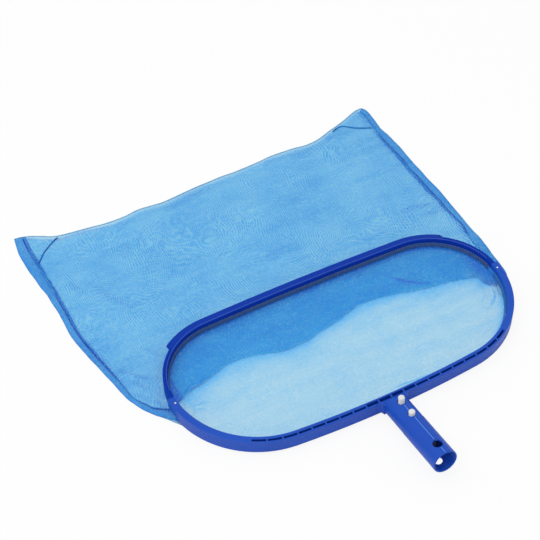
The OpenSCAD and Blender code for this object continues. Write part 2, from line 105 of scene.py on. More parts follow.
# The frame's opening: a long arc on the handle side (front) and on the lip side (back),
# joined by corner arcs that are level with each other at the widest line, y = 0.
RING_HALF, RING_FRONT, RING_BACK, FRONT_R, BACK_R = 206.5, 106.7, 80.0, 1265.0, 3850.0
FRONT_CY, BACK_CY = FRONT_R - RING_FRONT, RING_BACK - BACK_R
CORNER_RF = (FRONT_R ** 2 - RING_HALF ** 2 - FRONT_CY ** 2) / (2 * (FRONT_R - RING_HALF))
CORNER_RB = (BACK_R ** 2 - RING_HALF ** 2 - BACK_CY ** 2) / (2 * (BACK_R - RING_HALF))
CORNER_XF, CORNER_XB = RING_HALF - CORNER_RF, RING_HALF - CORNER_RB
FRONT_A, BACK_A = math.atan2(CORNER_XF, FRONT_CY), math.atan2(CORNER_XB, -BACK_CY)


def wall_dist(x, y):
    """Distance inwards from the frame's inner wall; negative outside the opening."""
    ax = np.abs(x)
    fa = np.arctan2(ax, FRONT_CY - y)
    ba = np.arctan2(ax, y - BACK_CY)
    front = np.where(fa < FRONT_A, FRONT_R - np.hypot(ax, FRONT_CY - y),
                     CORNER_RF - np.hypot(ax - CORNER_XF, y))
    back = np.where(ba < BACK_A, BACK_R - np.hypot(ax, y - BACK_CY),
                    CORNER_RB - np.hypot(ax - CORNER_XB, y))
    return np.where(y < 0, front, back)


def wall_line(front, inset, n, cut=0.0):
    """Points along the inner wall from left to right, inset into the opening. The share
    cut of each half is left off at its end."""
    if front:
        side, long_r, cy, corner_r, cx, turn = -1, FRONT_R, FRONT_CY, CORNER_RF, CORNER_XF, FRONT_A
    else:
        side, long_r, cy, corner_r, cx, turn = 1, BACK_R, BACK_CY, CORNER_RB, CORNER_XB, BACK_A
    pts = []
    for t in np.linspace(-1 + cut, 1 - cut, n):
        s = abs(t) * (long_r * turn + corner_r * (math.pi / 2 - turn))
        if s < long_r * turn:
            a, x0, y0, r = s / long_r, 0, cy, long_r - inset
        else:
            a, x0, y0, r = turn + (s - long_r * turn) / corner_r, cx, 0, corner_r - inset
        pts.append(((1 if t > 0 else -1) * (x0 + r * math.sin(a)), y0 + side * r * math.cos(a)))
    return np.array(pts)


# The bag as it lies. Side lines run from the opening to the far end, others left to right.
EDGE_L = [(-206, -28), (-209.4, -23.1), (-214.8, -14.9), (-218.6, -11.6), (-223, -6.7),
          (-228.3, -1.7), (-234.2, 6.6), (-239.6, 15.5), (-244, 25.8), (-247.7, 35.6),
          (-250.6, 49.8), (-252.8, 63.9), (-255.7, 78.4), (-258.1, 92.8), (-261.2, 107.7),
          (-263.5, 122.3), (-265.8, 137), (-267, 151.3), (-266.6, 164.9), (-266, 178.4),
          (-265.8, 192.4), (-266.7, 207), (-266.8, 221.5), (-269, 237.2), (-269.9, 252.4),
          (-271.4, 268), (-271.7, 283.2), (-271.7, 298.3), (-269.7, 312.5), (-267.2, 326.6)]
SEAM_L = [(-204, -13), (-209, -5), (-213.4, -1.1), (-220.5, 3.7), (-228.4, 9.7),
          (-232.8, 17.2), (-237.6, 24.3), (-242.2, 34.7), (-244.5, 50.5), (-247.1, 68.4),
          (-251, 90.4), (-254.8, 112.8), (-258.2, 136.2), (-259.2, 159.7), (-258.6, 181.5),
          (-258.6, 210.7), (-258.7, 228.8), (-258.7, 250.8), (-259, 265.9), (-259.3, 281.1),
          (-259.4, 296.5), (-258.6, 312.2), (-258.2, 325)]
EDGE_R = [(212, -26), (218.3, -16.8), (221, -14.8), (224.4, -9.8), (226.2, -3), (227, 4.5),
          (227.8, 13.7), (228.2, 24.9), (229.6, 35.6), (230.5, 46.6), (231.1, 57.9),
          (230.4, 70), (230.6, 81.7), (231.2, 93.3), (231.7, 105), (232, 117), (232.5, 128.9),
          (233.1, 140.9), (233.4, 153.2), (232.8, 166), (232.3, 179), (232.7, 191.6),
          (232.2, 204.7), (232.4, 217.6), (232.8, 230.4), (233.3, 243.4), (232.7, 257),
          (232.2, 270.8), (230.3, 285.4), (231.4, 298.5), (232.5, 311.7), (232.7, 325.6),
          (229.5, 334.5)]
SEAM_R = [(208, -12), (210, 5), (213, 18), (217, 30), (219.4, 39.8), (219.3, 48.7),
          (220.1, 58.7), (222, 72.3), (224.3, 84.1), (223.6, 100.5), (222.9, 119.1),
          (223.7, 134.7), (222.8, 155.9), (222.7, 179), (222.3, 201.7), (223.3, 220.3),
          (223, 239.4), (222.5, 256.6), (222.8, 272.8), (224, 290.7), (224.6, 302.8),
          (225.4, 316.8), (224, 329)]
FAR = [(-267.2, 326.6), (-262.6, 326.8), (-248.7, 322.4), (-235.8, 315.5), (-223, 308.3),
       (-208.6, 304.9), (-193.6, 302.9), (-178.5, 301.1), (-163.4, 298.9), (-147.8, 297.9),
       (-131.3, 298.5), (-113.9, 301), (-98, 300), (-82.2, 298.4), (-65.1, 299.7),
       (-47.4, 301.6), (-29.8, 303.3), (-12.5, 304.1), (5.1, 305.1), (22, 304.7),
       (39.6, 305.4), (57.7, 306.7), (76.3, 308.8), (93.8, 308.6), (111.1, 307.8),
       (127.7, 305.7), (146.7, 307.6), (169.3, 315.5), (191.7, 322.6), (216, 332.7),
       (224.8, 334.5), (229.5, 334.5)]
FOLD = [(-206, 0.4), (-199.2, 3.2), (-191.6, 6.4), (-183.4, 10.7), (-178.2, 13), (-169.4, 14.2),
        (-161, 16.1), (-152.3, 18.6), (-143.6, 21.2), (-134.5, 24.4), (-124.6, 26.2),
        (-113.5, 25.6), (-101.6, 24.4), (-90.5, 21.4), (-80.7, 18.2), (-70, 14.7), (-58, 12.6),
        (-45, 13), (-32, 13.4), (-16, 18.3), (-1, 20.7), (13, 23.1), (30, 28.2), (45, 32),
        (59, 31.8), (71, 30.2), (83, 27.3), (96, 25.1), (107, 21.5), (119, 18.6), (131, 15.9),
        (146, 14.4), (160, 12), (173.6, 8.3), (184, 4.6), (190, 1), (191, -6.5), (194, -13.5),
        (199.5, -18.5), (205, -21)]
DART_L = [(-257.5, 271), (-255, 274), (-250.1, 279.9), (-244.4, 286.2), (-236.6, 292.5),
          (-227.8, 298.3), (-220, 302.8)]
DART_R = [(171.6, 310.6), (177, 312.6), (183.3, 314), (188.9, 312.4), (194, 308.1),
          (199, 303.7), (206.8, 298.5), (214, 295), (221.5, 290.8)]

# Creases: points, width, height, darkness; the darkness is partly the doubled mesh in the fold and
# partly painted shade in it.
CREASES_BAG = [
    ([(-222.7, 219.2), (-209.3, 198.2), (-203.8, 181.7), (-191.7, 166.1), (-192.6, 144.5)],
     9.0, 1.0, 0.32),
    ([(-236, 240), (-234, 218), (-226, 196)], 8.0, 1.0, 0.3),
    ([(-205, 95.4), (-197.2, 85.3), (-189.4, 70.1)], 4.0, 1.2, 0.35),
    ([(-238.3, 76.2), (-223.2, 55.8), (-205.2, 41.9)], 4.5, 1.3, 0.4),
    ([(-245.1, 80.0), (-238.2, 73.7), (-234.0, 64.1)], 4.0, 1.1, 0.45),
    ([(-238.9, 58.7), (-230.9, 49.5), (-223.2, 37.3)], 4.5, 1.3, 0.45),
    ([(-243.7, 37.3), (-233.3, 28.5), (-227.3, 20.5)], 3.5, 1.0, 0.4),
    ([(-226.2, 23.0), (-220.8, 13.8), (-217.6, 2.7)], 3.5, 1.0, 0.5),
    ([(168.9, 140.4), (196.3, 137.6), (213.6, 130.1)], 4.5, 1.2, 0.5),
    ([(189.9, 122.9), (213.2, 118.2)], 3.5, 1.2, 0.6),
    ([(191.4, 280), (186, 262), (184, 246)], 5, 0.9, 0.2),
    ([(60, 270), (66, 240), (58, 205)], 7, 0.9, 0.15),
    ([(-120, 265), (-112, 230), (-118, 190)], 8, 0.9, 0.15),
]
CREASES_MOUTH = [
    ([(-199.8, -5.4), (-192.5, -7.9), (-177.6, -9.7), (-164.3, -12.3)], 2.6, 1.4, 0.75),
    ([(-196.3, -8.1), (-184.2, -15.5), (-172, -20)], 3, 1.0, 0.45),
    ([(7.4, -91.7), (25.4, -91.9), (48.6, -94.3), (74.2, -95.4)], 1.6, 0.8, 1.0),
    ([(8.4, -96.4), (32.2, -96.8), (60, -98)], 1.6, 0.8, 0.9),
    ([(190.7, -0.4), (195.4, -10.2), (196.1, -21.6), (190.9, -33.2), (179.7, -41.3),
      (168.2, -43.9)], 2.8, 0.7, 0.85),
    ([(182.0, -2.9), (184.7, -13.5), (180.6, -25.7), (170.3, -32.6)], 2.4, 0.6, 0.4),
    ([(178.5, 4.5), (180.3, -7.5), (177.1, -18.4)], 2.2, 0.5, 0.3),
    ([(-150, -30), (-60, -38), (20, -30), (90, -28)], 5, 0.8, 0.08),
]
CREASES_TUCK = [
    ([(87.3, 65.4), (94.5, 56.8), (103.1, 43.8), (113, 33), (124.5, 24.9), (138.2, 20.1),
      (152.8, 16.7)], 3.8, 1.8, 0.95),
    ([(32.4, 77), (50.8, 73.4), (68.8, 69), (87.3, 65.4)], 5, 1.2, 0.6),
    ([(-120, 60), (-90, 64), (-55, 66), (-20, 70)], 6, 1.0, 0.2),
    ([(-180, 30), (-150, 44), (-130, 50)], 6, 1.0, 0.2),
]


def line_near(x, y, pts):
    """Distance from each point to a polyline, and how far along it the nearest place is."""
    d, s = np.full(x.shape, 1e9), np.zeros(x.shape)
    n = len(pts) - 1
    for k, ((ax, ay), (bx, by)) in enumerate(zip(pts[:-1], pts[1:])):
        ux, uy = bx - ax, by - ay
        t = np.clip(((x - ax) * ux + (y - ay) * uy) / (ux * ux + uy * uy), 0, 1)
        q = np.hypot(x - ax - t * ux, y - ay - t * uy)
        s = np.where(q < d, (k + t) / n, s)
        d = np.minimum(d, q)
    return d, s


def creased(x, y, creases):
    """Height and darkness added by a set of creases, which fade towards their ends. The darkness
    is partly the doubled mesh in the fold and partly painted shade in it.
    """
    z, k = np.zeros(x.shape), np.zeros(x.shape)
    for pts, width, height, dark in creases:
        d, along = line_near(x, y, curve(pts, 24))
        fade = np.clip(3.2 * np.minimum(along, 1 - along), 0.08, 1)
        z += height * bell(d, width) * fade
        k = np.maximum(k, dark * fade * bell(d, 0.6 * width))
    return z, k


def waves(x, y, size, seed):
    return np.array([
        noise.noise(Vector((a / size, b / size, seed))) for a, b in zip(x.ravel(), y.ravel())
    ]).reshape(x.shape)


# ---------------------------------------------------------------------------
# Mesh building.
# ---------------------------------------------------------------------------
def link(name, data):
    ob = bpy.data.objects.new(name, data)
    bpy.context.scene.collection.objects.link(ob)
    return ob


def new_mesh(name, verts, faces, mat, attrs=None):
    """Piece with smooth faces. attrs are numbers at its points that the materials read."""
    me = bpy.data.meshes.new(name)
    me.from_pydata([tuple(P(*v)) for v in verts], [], faces)
    me.update()
    for key, values in (attrs or {}).items():
        a = me.attributes.new(key, "FLOAT", "POINT")
        a.data.foreach_set("value", np.asarray(values, np.float32))
    me.polygons.foreach_set("use_smooth", [True] * len(me.polygons))
    me.materials.append(mat)
    return link(name, me)


def grid_faces(nu, nv, start=0, closed=False):
    """Faces of nv rows of nu points each."""
    f = []
    for j in range(nv - 1):
        for i in range(nu if closed else nu - 1):
            a, b = j * nu + i, j * nu + (i + 1) % nu
            f.append((start + a, start + b, start + b + nu, start + a + nu))
    return f


def tube_faces(m, n, start=0):
    """Faces of n rings of m points each, closed at both ends."""
    last = start + (n - 1) * m
    return (grid_faces(m, n, start, closed=True)
            + [tuple(range(start, start + m))[::-1], tuple(range(last, last + m))])


def end_taper(i, n, reach):
    """0 at both ends of n steps, 1 from reach steps inwards."""
    return float(smooth(0, reach, i) * smooth(0, reach, n - 1 - i))


def coons(near, far, left, right):
    """Grid of points between four lines; near and far run left to right."""
    nu, nv = len(near), len(left)
    u = np.linspace(0, 1, nu)[None, :, None]
    v = np.linspace(0, 1, nv)[:, None, None]
    N, F, L, R = near[None], far[None], left[:, None], right[:, None]
    return ((1 - v) * N + v * F + (1 - u) * L + u * R
            - ((1 - u) * (1 - v) * N[:, :1] + u * (1 - v) * N[:, -1:]
               + (1 - u) * v * F[:, :1] + u * v * F[:, -1:]))


# ---------------------------------------------------------------------------
# Materials.
# ---------------------------------------------------------------------------
def principled(name):
    m = bpy.data.materials.new(name)
    m.use_nodes = True
    return m, m.node_tree, m.node_tree.nodes["Principled BSDF"]


def object_coords(nt):
    return nt.nodes.new("ShaderNodeTexCoord").outputs["Object"]


def attribute(nt, name):
    n = nt.nodes.new("ShaderNodeAttribute")
    n.attribute_name = name
    return n.outputs["Fac"]


def mapping(nt, vec, **values):
    n = nt.nodes.new("ShaderNodeMapping")
    for key, value in values.items():
        n.inputs[key].default_value = value
    nt.links.new(vec, n.inputs["Vector"])
    return n.outputs[0]


def noise_tex(nt, scale, detail, rough, vec=None):
    n = nt.nodes.new("ShaderNodeTexNoise")
    n.inputs["Scale"].default_value = scale
    n.inputs["Detail"].default_value = detail
    n.inputs["Roughness"].default_value = rough
    nt.links.new(object_coords(nt) if vec is None else vec, n.inputs["Vector"])
    return n.outputs["Fac"]


def math_node(nt, op, a, b=None):
    n = nt.nodes.new("ShaderNodeMath")
    n.operation = op
    for i, v in enumerate((a, b)):
        if v is None:
            continue
        if isinstance(v, (int, float)):
            n.inputs[i].default_value = v
        else:
            nt.links.new(v, n.inputs[i])
    return n.outputs[0]


def remap(nt, value, a, b, lo=0.0, hi=1.0):
    n = nt.nodes.new("ShaderNodeMapRange")
    n.inputs["From Min"].default_value, n.inputs["From Max"].default_value = a, b
    n.inputs["To Min"].default_value, n.inputs["To Max"].default_value = lo, hi
    nt.links.new(value, n.inputs["Value"])
    return n.outputs[0]


def mix_color(nt, fac, a, b):
    """Colour a where fac is 0, b where it is 1; each is a colour or a node's output."""
    n = nt.nodes.new("ShaderNodeMix")
    n.data_type = "RGBA"
    nt.links.new(fac, n.inputs[0])
    for sock, v in ((n.inputs[6], a), (n.inputs[7], b)):
        if isinstance(v, tuple):
            sock.default_value = (*v, 1.0)
        else:
            nt.links.new(v, sock)
    return n.outputs[2]


def add_bump(nt, p, height, strength, distance):
    b = nt.nodes.new("ShaderNodeBump")
    b.inputs["Strength"].default_value = strength
    b.inputs["Distance"].default_value = distance
    nt.links.new(height, b.inputs["Height"])
    nt.links.new(b.outputs[0], p.inputs["Normal"])


def plastic(name, base, dark, rough, bump=0.0, spec=0.5):
    """Moulded plastic with faint flow marks, fine grain and light scuffs."""
    m, nt, p = principled(name)
    flow = noise_tex(nt, 14, 4, 0.6)
    nt.links.new(mix_color(nt, remap(nt, flow, 0.35, 0.65), dark, base), p.inputs["Base Color"])
    scuff = noise_tex(nt, 160, 5, 0.7)
    nt.links.new(remap(nt, scuff, 0.35, 0.75, rough - 0.05, rough + 0.1), p.inputs["Roughness"])
    p.inputs["Specular IOR Level"].default_value = spec
    add_bump(nt, p, noise_tex(nt, 900, 2, 0.5), bump, 0.0004)
    return m


def thread(name, base, light, scale):
    m, nt, p = principled(name)
    p.inputs["Roughness"].default_value = 0.6
    nt.links.new(mix_color(nt, noise_tex(nt, scale, 2, 0.5), base, light), p.inputs["Base Color"])
    return m


WEAVE_PITCH, WEAVE_TURN = 0.0009, 4  # metres between threads, and degrees from the x axis
# The light lines that two layers of mesh make together come in two sets. Each has its
# axis, pitch in metres, bends by a coarse and a fine noise, shift of that noise, strength.
MOIRE_SETS = ((0, 0.0028, 105.0, 30.0, 0.0, 1.05), (1, 0.0050, 165.0, 44.0, 3.7, 0.75))


def net_material(name, pale, deep, light, alpha, moire):
    """Fine translucent mesh: woven grain, darker creases, and the soft light
    lines that two layers of mesh make together. A darkness value at its points makes it
    darker and denser: partly doubled mesh in folds, partly painted shade in creases, along
    walls and under the frame. thin makes it clearer and calm weakens the light lines."""
    m, nt, p = principled(name)
    vec = object_coords(nt)

    def op(kind, a, b=None):
        return math_node(nt, kind, a, b)

    def tex(scale, detail, rough, lo, hi, to_lo=0.0, to_hi=1.0, at=vec):
        return remap(nt, noise_tex(nt, scale, detail, rough, at), lo, hi, to_lo, to_hi)

    sep = nt.nodes.new("ShaderNodeSeparateXYZ")
    nt.links.new(mapping(nt, vec, Rotation=(0, 0, math.radians(WEAVE_TURN))), sep.inputs[0])
    threads = [
        remap(nt, op("SINE", op("MULTIPLY", sep.outputs[axis], 2 * math.pi / WEAVE_PITCH)), -1, 1)
        for axis in (0, 1)
    ]
    weave = op("MAXIMUM", threads[0], threads[1])

    # How dense and dark each place looks: the points' darkness (denser folds and painted shade),
    # clouds, grain and long streaks.
    streaked = mapping(nt, vec, Scale=(0.22, 1.6, 1.0), Rotation=(0, 0, math.radians(8)))
    fac = op("ADD", tex(26, 5, 0.65, 0.42, 0.68, 0, 0.20), attribute(nt, "density_and_shade"))
    fac = op("ADD", fac, tex(520, 2, 0.6, 0.3, 0.7, -0.13, 0.21))
    fac = op("ADD", fac, tex(60, 4, 0.6, 0.35, 0.65, -0.05, 0.14, at=streaked))
    fac = op("MAXIMUM", op("MINIMUM", fac, 1.0), 0.0)

    # Light lines, bent by two sizes of noise into loops and rings, and light specks.
    lines = []
    for axis, pitch, coarse, fine, shift, gain in MOIRE_SETS:
        v = mapping(nt, vec, Location=(shift, shift, shift))
        bend = op("ADD", op("MULTIPLY", noise_tex(nt, 10, 1, 0.4, v), coarse),
                  op("MULTIPLY", noise_tex(nt, 31, 2, 0.5, v), fine))
        phase = op("ADD", bend, op("MULTIPLY", sep.outputs[axis], 2 * math.pi / pitch))
        ridge = op("POWER", remap(nt, op("SINE", phase), -1, 1), 2.5)
        lines.append(op("MULTIPLY", ridge,
                        tex(16, 3, 0.6, 0.38, 0.62, 0.38 * gain, gain, at=v)))
    calm = attribute(nt, "calm")
    line = op("MULTIPLY", op("MAXIMUM", lines[0], lines[1]),
              op("SUBTRACT", moire, op("MULTIPLY", calm, moire)))
    speck = op("MULTIPLY", tex(400, 2, 0.7, 0.46, 0.66, -0.35, 0.85),
               op("SUBTRACT", 0.48, op("MULTIPLY", calm, 0.05)))
    line = op("ADD", line, speck)

    col = mix_color(nt, fac, pale, deep)
    nt.links.new(mix_color(nt, op("MULTIPLY", line, 0.55), col, light), p.inputs["Base Color"])
    a = op("ADD", remap(nt, weave, 0, 1, alpha - 0.05, alpha + 0.04),
           op("SUBTRACT", op("MULTIPLY", fac, 0.30), op("MULTIPLY", line, 0.08)))
    a = op("MULTIPLY", op("MINIMUM", a, 0.97), op("SUBTRACT", 1.0, attribute(nt, "thin")))
    nt.links.new(a, p.inputs["Alpha"])
    p.inputs["Roughness"].default_value = 0.62
    p.inputs["Specular IOR Level"].default_value = 0.12
    add_bump(nt, p, weave, 0.25, 0.0002)
    return m


BLUE = plastic("frame_blue_plastic", (0.013, 0.090, 0.55), (0.010, 0.078, 0.51), 0.3, spec=0.22)
# The lip's blue is the frame's blue darkened as painted shade of its faces, which slope away from
# the light.
BLUE_LIP_SHADED = plastic("lip_shaded_blue_plastic", (0.006, 0.046, 0.41), (0.005, 0.042, 0.39), 0.3, spec=0.02)
WHITE = plastic("white_button_plastic", (0.84, 0.84, 0.83), (0.80, 0.80, 0.79), 0.3, bump=0.02)
# The clip's near-black navy is painted shade: it stands for the dark inside of the tube, seen
# through the cross hole.
CLIP_SHADED = plastic("clip_spring_shaded_plastic", (0.016, 0.020, 0.042), (0.013, 0.016, 0.034), 0.4, bump=0.02)
# Lighter blue of the lip's rib: a painted highlight along the ridge.
RIM_HIGHLIGHT = plastic("rim_highlight_plastic", (0.022, 0.085, 0.53), (0.018, 0.075, 0.50), 0.4)
# Pale blue of the tube's parting line: a painted highlight along the tube's top.
PARTING_HIGHLIGHT = plastic("parting_line_highlight_plastic", (0.16, 0.36, 0.86), (0.12, 0.30, 0.80), 0.2, bump=0.01)
NET_LOW = net_material("net_lower_mesh", (0.004, 0.48, 0.78), (0.004, 0.43, 0.94),
                       (0.12, 0.62, 0.88), 0.57, 0.5)
NET_UP = net_material("net_upper_mesh", (0.003, 0.445, 0.97), (0.032, 0.150, 0.70),
                      (0.20, 0.77, 0.99), 0.63, 1.25)
BIND = net_material("binding_mesh", (0.03, 0.37, 0.95), (0.006, 0.07, 0.52),
                    (0.20, 0.58, 0.98), 0.68, 0.8)
SEAM = net_material("dart_mesh", (0.03, 0.22, 0.66), (0.004, 0.05, 0.28),
                    (0.06, 0.3, 0.7), 0.8, 0.1)
# The rear hem strip's dark grey-blue is painted shade: the net under the lip, in the shadow of its
# wall.
HEM_SHADED = net_material("hem_shaded_mesh", (0.06, 0.125, 0.30), (0.03, 0.07, 0.20),
                   (0.15, 0.22, 0.45), 0.84, 0.2)
HEM_FRONT = net_material("hem_front_mesh", (0.05, 0.22, 0.56), (0.03, 0.12, 0.36),
                         (0.15, 0.32, 0.6), 0.8, 0.2)
EDGE = net_material("far_edge_mesh", (0.16, 0.46, 0.78), (0.05, 0.28, 0.62),
                    (0.45, 0.7, 0.9), 0.36, 0.3)
THREAD = thread("seam_thread", (0.015, 0.09, 0.42), (0.03, 0.14, 0.52), 300)
STITCH = thread("hem_thread", (0.14, 0.22, 0.50), (0.24, 0.34, 0.62), 200)

for name, mat in (("handle_frame", BLUE), ("lip_frame", BLUE_LIP_SHADED), ("joint_pin_left", WHITE),
                  ("joint_pin_right", WHITE), ("release_button", WHITE), ("lock_button", WHITE),
                  ("clip_spring", CLIP_SHADED), ("clip_lever", CLIP_SHADED)):
    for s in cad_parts[name].material_slots:
        s.material = mat

# ---------------------------------------------------------------------------
# The net.
# ---------------------------------------------------------------------------
NU, NV = ((320, 250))  # points across the bag, and along it
NET_Z = 0.7          # lowest height of a layer over what it lies on
EDGE_IN = 0.4        # how far the lower layer's sides stay inside the binding
JOIN = 6             # columns of the lower layer on each side that run outside the wall
SKIRT = 10.2         # how high the lower layer climbs at the handle side's wall
FOLD_CLEAR = 3.0     # push on the upper layer's first rows, away from the fold
UPPER_LONG = 320     # the upper layer's length from the fold to the far edge
TUCK_ROWS, TUCK_Z, TUCK_LIFT = 40, 1.4, 1.0
TUCK_SHADE = 0.27     # painted shade: the tuck is darkened at least this much, for the frame's shade over it
TUCK_CALM = 0.7      # and the light lines are this much weaker on it
# The hem strip leaves the wall at HEM_TOP and ends at HEM_LOW, HEM_OUT from the wall.
HEM_IN, HEM_TOP, HEM_LOW, HEM_OUT = 0.4, 14.2, 7.4, 2.4
HEM_SLOPE = (HEM_TOP - HEM_LOW) / (HEM_OUT - HEM_IN)


def side_lift(x, y):
    """0 under the frame's bars and 1 away from them, to keep the net low there."""
    d = wall_dist(x, y)
    return 1 - smooth(4, 0, d) * smooth(-14, -9, d)


def floor_waves(x, y, seed):
    return 0.9 * waves(x, y, 70, seed) + 0.5 * waves(x, y, 26, seed + 3) \
        + 0.22 * waves(x, y, 9, seed + 7)


def low_z(x, y):
    """Height of the lower layer away from the walls and creases."""
    w = floor_waves(x, y, 1.7)
    return NET_Z + np.maximum(w + 0.4, 0) * 0.8 * (0.3 + 0.7 * smooth(0, 6, wall_dist(x, y))) \
        * side_lift(x, y)


def line_x(line, y):
    """x of a side line at each y; its first points, where y turns back, are left out."""
    p = np.array(line[3:], float)
    return np.interp(y, p[:, 1], p[:, 0])


# Lower layer: from the handle side's hem to the far edge.
front = wall_line(True, HEM_IN, NU - 2 * JOIN, 0.16)
left, right, far = curve(EDGE_L, NV), curve(EDGE_R, NV), curve(FAR, NU)
left[:, 0] += EDGE_IN
right[:, 0] -= EDGE_IN
join = np.linspace(0, 1, JOIN + 1)
near = np.vstack([
    [left[0] + (front[0] - left[0]) * t for t in join[:-1]],
    front,
    [front[-1] + (right[0] - front[-1]) * t for t in join[1:]],
])
far[0], far[-1] = left[-1], right[-1]
g = coons(near, far, left, right)
X, Y = g[..., 0], g[..., 1]
D = wall_dist(X, Y)
cz, dense_shade = creased(X, Y, CREASES_MOUTH)
skirt = SKIRT * np.exp(-(np.maximum(D, 0) / 5.0) ** 1.1) * smooth(-28, -50, Y) * (D > -0.5)
# Painted shade just below the fold, which also doubles the net there, and painted shade of the
# right-hand wall next to it.
d_fold = line_near(X, Y, curve(FOLD[2:-3], 90))[0]
below = Y < 2.5 + np.interp(X, [p[0] for p in FOLD[:-6]], [p[1] for p in FOLD[:-6]])
dense_shade = np.maximum(dense_shade, (0.8 * decay(d_fold, 8.0) + 0.25 * decay(d_fold, 28.0)) * below * (D > 0))
dense_shade = np.maximum(dense_shade, 0.95 * decay(np.maximum(D - 2, 0), 4.0) * smooth(140, 170, X) * (D > 0)
                * smooth(25, 10, Y))
zl = low_z(X, Y) + skirt + cz * smooth(0, 6, D)
net_lower = new_mesh("net_lower", np.stack([X, Y, zl], -1).reshape(-1, 3), grid_faces(NU, NV),
                     NET_LOW, {"density_and_shade": dense_shade.ravel()})

# Upper layer: from the fold in the mouth to just short of the far edge, where the lower
# layer's fold leaves a paler strip.
fold = curve(FOLD, NU)
far_in = curve(FAR, NU)
far_in[:, 1] -= np.interp(far_in[:, 0], [-268, -240, -222, -186, -150, -100, 150, 175, 230],
                          [8, 8, 5.5, 4, 5.5, 4, 4, 3, 3])
left_u, right_u = curve([FOLD[0]] + SEAM_L[2:], NV), curve([FOLD[-1]] + SEAM_R[1:], NV)
left_u[:, 0] -= 1.0
right_u[:, 0] += 1.0
across = np.linspace(0, 1, NU)[:, None]
far_in += (left_u[-1] - far_in[0]) * np.exp(-across * 30)
far_in += (right_u[-1] - far_in[-1]) * np.exp(-across[::-1] * 30)
far_in[0], far_in[-1] = left_u[-1], right_u[-1]
left_u[0], right_u[0] = fold[0], fold[-1]
g = coons(fold, far_in, left_u, right_u)
X, Y = g[..., 0], g[..., 1]
# The rows leave the fold away from the handle, so that none of them dips below it.
along = np.linspace(0, 1, NV)[:, None]
rise = along / 0.02
Y = Y + FOLD_CLEAR * rise * np.exp(1 - rise) * smooth(-188, -160, X) * smooth(-40, -62, X)
cz, dense_shade = creased(X, Y, CREASES_BAG)
for d, dark, width, y0 in ((line_x(SEAM_R, Y) - X, 0.55, 5.0, 30),
                           (X - line_x(SEAM_L, Y), 0.35, 2.2, 20)):
    dense_shade = np.maximum(dense_shade, dark * bell(np.maximum(d - 3, 0), width) * smooth(y0, 60, Y))
# Along the far edge: a dark line on the left, and a thinned strip of uneven width.
d_far = (1 - along) * UPPER_LONG
dense_shade = np.maximum(dense_shade, 0.55 * bell(d_far - 2.4, 1.8) * smooth(-120, -170, X))
pale = 2.4 + 2.6 * (0.5 + 0.5 * np.sin(X / 17 + 1.5 * np.sin(X / 41))) * smooth(150, 110, X)
dense_shade = np.maximum(dense_shade, 0.16 * bell(d_far - pale - 4.5, 4) * smooth(-170, -130, X))
thin = np.maximum(0.55 * bell(d_far, pale),
                  0.7 * smooth(174, 186, X) * decay(line_near(X, Y, FOLD)[0], 4.0))
zu = low_z(X, Y) + NET_Z + np.maximum(floor_waves(X, Y, 5.1) + 0.3, 0) * 1.3 * side_lift(X, Y) \
    + cz * smooth(-8, -16, wall_dist(X, Y))
verts = np.stack([X, Y, zu], -1).reshape(-1, 3).tolist()
faces = grid_faces(NU, NV)
density_and_shade, thin, calm = dense_shade.ravel().tolist(), thin.ravel().tolist(), [0.0] * X.size

# The tuck: from the fold back to the hem on the lip side, welded along the fold.
i0, i1 = 1, NU - 1
cols = i1 - i0
front_end = wall_line(True, 0.5, 400)[::-1]
front_end = front_end[(front_end[:, 0] > 0) & (front_end[:, 1] > -19)]
target = curve(np.vstack([wall_line(False, 0.5, 400)[2:-1], front_end]), cols)
start = fold[i0:i1]
start_z = np.array([verts[i][2] for i in range(i0, i1)])
tuck_index = [list(range(i0, i1))]
for r in range(1, TUCK_ROWS):
    t = (r / (TUCK_ROWS - 1)) ** 0.8
    x, y = (start + (target - start) * t).T
    d = np.maximum(wall_dist(x, y), 0.3)
    off = np.linalg.norm(np.stack([x, y], 1) - start, axis=1)
    cz, dense_shade = creased(x, y, CREASES_TUCK)
    z = low_z(x, y) + TUCK_Z + TUCK_LIFT * smooth(0, 5, off) \
        + np.maximum(floor_waves(x, y, 9.3) + 0.3, 0) * 1.2 * smooth(0, 20, off) + cz
    z = np.maximum(z, HEM_TOP - 0.6 - (d - HEM_IN) * HEM_SLOPE)
    z += (start_z - z) * bell(off, 4.0)
    # Painted shade on the tuck: along the fold, next to the lip's wall, at its right end and in
    # the left corner under the frame, with a floor of painted shade over the whole tuck.
    for dark in (0.65 * bell(off, 1.3), 0.72 * decay(np.maximum(d - 1.8, 0), 5.0),
                 0.6 * smooth(182, 197, x), 0.80 * smooth(-191, -196, x) * smooth(44, 34, y),
                 TUCK_SHADE):
        dense_shade = np.maximum(dense_shade, dark)
    tuck_index.append(list(range(len(verts), len(verts) + cols)))
    verts += np.stack([x, y, z], 1).tolist()
    density_and_shade += dense_shade.tolist()
    thin += (0.7 * smooth(174, 186, x) * decay(off, 4.0)).tolist()
    calm += [TUCK_CALM] * cols
for a, b in zip(tuck_index[:-1], tuck_index[1:]):
    for i in range(cols - 1):
        faces.append((a[i], a[i + 1], b[i + 1], b[i]))
net_upper = new_mesh("net_upper", verts, faces, NET_UP,
                     {"density_and_shade": density_and_shade, "thin": thin, "calm": calm})

# ---------------------------------------------------------------------------
# Sewn edges.
# ---------------------------------------------------------------------------
ROLL_STEPS = 8       # steps over the top of a roll
THREAD_LIFT = 0.5    # how far a stitch stands up in its middle
BAND_Z = 0.35        # height of a side band's underside
SIDES = 240          # points along a side of the bag


